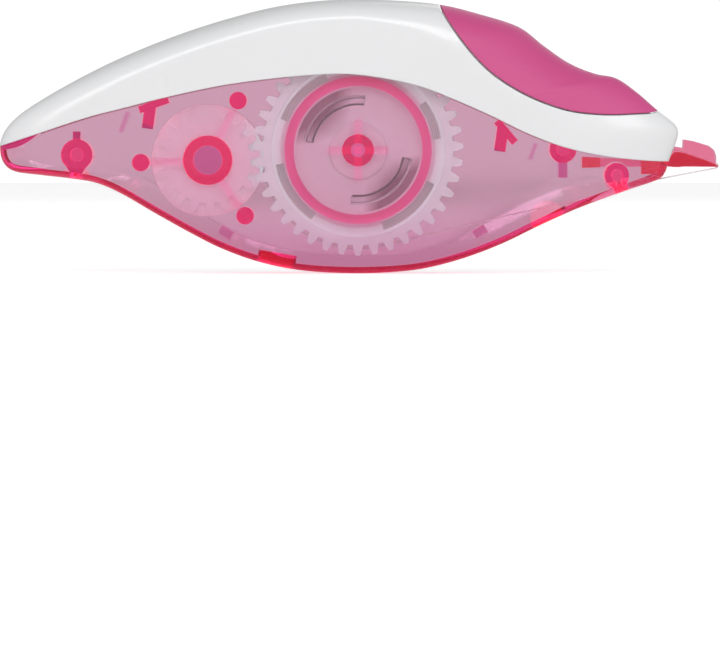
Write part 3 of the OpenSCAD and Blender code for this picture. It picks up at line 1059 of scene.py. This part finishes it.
@dataclass
class Cover:
    """White saddle cover over the case."""

    form: BodyForm
    lines: Lines
    palette: Palette
    proud: float = 0.9
    grip: float = 1.0

    def shell(self) -> Solid:
        """Builds the cover with its seats for the case and the grip.

        Returns:
            The solid.
        """
        form = self.form
        whole = form.loft(self.proud) & over(rounded_line(self.lines.border, 8))
        seat = form.loft(CLEAR) & under(self.lines.top_of_case(), -CLEAR)
        behind_grip = Solid.prism([(-FAR, 0), (11, 0), (11, 60), (-FAR, 60)])
        rear = (form.loft(self.proud - 1.2) & form.inset(1.3)) & behind_grip
        front = form.loft(self.proud - self.grip - 1.1) & form.inset(self.grip + 1.3)
        kept = form.loft(self.proud - self.grip) & form.inset(self.grip)
        grip_seat = Solid.prism(self.lines.edge_of_grip()) - kept
        for cut in (seat, rear, front, grip_seat, mouth()):
            whole = whole - cut
        return whole

    def build(self) -> bpy.types.Object:
        """Builds and dresses the cover."""
        return self.shell().piece("cover_shell", self.palette.cover.make(), "cover_white", ["top_cover"])


@dataclass
class Grip:
    """Rubber pad set into the cover above the nose."""

    form: BodyForm
    lines: Lines
    palette: Palette
    proud: float = 0.9
    thick: float = 1.0
    gap: float = 0.18

    def pad(self) -> Solid:
        """Builds the pad as a skin over the cover's seat.

        Returns:
            The solid.
        """
        outer = self.form.loft(self.proud) & Solid.prism(self.lines.edge_of_grip(self.gap))
        inner = self.form.loft(self.proud - self.thick + 0.02) & self.form.inset(self.thick - 0.02)
        return outer - inner

    def build(self) -> bpy.types.Object:
        """Builds and dresses the pad."""
        return self.pad().piece("grip_pad", self.palette.grip.make(), "grip_rubber", ["finger_grip"])


@dataclass
class Works:
    """Gears, spools, tape and head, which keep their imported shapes."""

    palette: Palette

    def build(self) -> None:
        """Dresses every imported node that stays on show."""
        p = self.palette
        finishes = {"applicator_head": p.head, "supply_gear": p.big_gear, "clutch_spring": p.spring,
                    "supply_core": p.core, "fresh_tape_roll": p.tape, "takeup_gear": p.gear,
                    "takeup_drum": p.core, "backing_roll": p.backing, "fresh_tape_run": p.film,
                    "backing_return_run": p.film}
        for node, finish in finishes.items():
            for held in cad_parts[node].material_slots:
                held.material = finish.make()
            log.info("%s: %s", node, finish.name)


@dataclass
class Studio:
    """Pale floor, soft light and a long lens level with the roller."""

    palette: Palette
    reach: float = 1.5
    width: float = 0.108
    aim: tuple[float, float, float] = (0.0003, 0.0, -0.0085)
    tilt: float = 1.1
    floor_radius: float = 3.0

    def floor(self) -> bpy.types.Object:
        """Builds the floor as one wide disc.

        Returns:
            The floor.
        """
        mesh = bpy.data.meshes.new("floor")
        bm = bmesh.new()
        bmesh.ops.create_circle(bm, cap_ends=True, segments=96, radius=self.floor_radius)
        bm.to_mesh(mesh)
        bm.free()
        mesh.materials.append(self.palette.floor.make())
        o = bpy.data.objects.new("floor", mesh)
        bpy.context.scene.collection.objects.link(o)
        o.location.z = -0.00002
        return o

    def lamp(self, name: str, at: tuple[float, float, float], size: Point, watts: float) -> None:
        """Adds a soft box aimed at the roller.

        Args:
            name: its name.
            at: its position in metres.
            size: its width and height.
            watts: its power.
        """
        data = bpy.data.lights.new(name, "AREA")
        data.shape, data.size, data.size_y, data.energy = "RECTANGLE", size[0], size[1], watts
        o = bpy.data.objects.new(name, data)
        bpy.context.scene.collection.objects.link(o)
        o.location = at
        o.rotation_mode = "QUATERNION"
        o.rotation_quaternion = (Vector(at) - Vector((0, 0, 0.02))).to_track_quat("Z", "Y")

    def sky(self) -> None:
        """Adds a white room that is a little darker above and behind."""
        world = bpy.data.worlds.new("room")
        bpy.context.scene.world = world
        paint = Paint(world)
        way = paint.add("ShaderNodeSeparateXYZ", None, {0: paint.add("ShaderNodeTexCoord")["Generated"]})
        glow = 0.68 - way["Y"] * 0.18 - way["Z"] * 0.42
        seen = paint.add("ShaderNodeLightPath")["Is Camera Ray"]
        strength = glow + seen * (1.05 - glow)
        back = paint.add("ShaderNodeBackground", None, {"Color": (1.0, 1.0, 1.0), "Strength": strength})[0]
        paint.add("ShaderNodeOutputWorld", None, {"Surface": back})

    def camera(self) -> None:
        """Adds the long lens camera."""
        data = bpy.data.cameras.new("side_view")
        data.sensor_width = 36
        data.lens = data.sensor_width * self.reach / self.width
        data.clip_end = 20
        o = bpy.data.objects.new("side_view", data)
        bpy.context.scene.collection.objects.link(o)
        back = Vector((0, -math.cos(math.radians(self.tilt)), math.sin(math.radians(self.tilt))))
        o.location = Vector(self.aim) + back * self.reach
        o.rotation_mode = "QUATERNION"
        o.rotation_quaternion = back.to_track_quat("Z", "Y")
        bpy.context.scene.camera = o

    def build(self) -> None:
        """Builds the whole stage."""
        self.camera()
        self.floor()
        self.sky()
        self.lamp("front_box", (0.0, -1.25, 0.62), (1.1, 0.5), 7.0)
        self.lamp("top_box", (0.35, 0.15, 1.25), (1.2, 0.9), 0.3)
        self.lamp("rear_box", (0.55, 1.2, 0.9), (1.0, 0.8), 2.5)
        view = bpy.context.scene.view_settings
        view.view_transform, view.look = "Standard", "None"


def main() -> None:
    """Builds the stage and the roller, piece by piece."""
    logging.basicConfig(level=logging.INFO, format="%(name)s %(message)s")
    palette, form, lines = Palette(), BodyForm(), Lines()
    Studio(palette).build()
    CaseHalves(form, lines, palette).build()
    Cover(form, lines, palette).build()
    Grip(form, lines, palette).build()
    Works(palette).build()


if __name__ == "__main__":
    main()
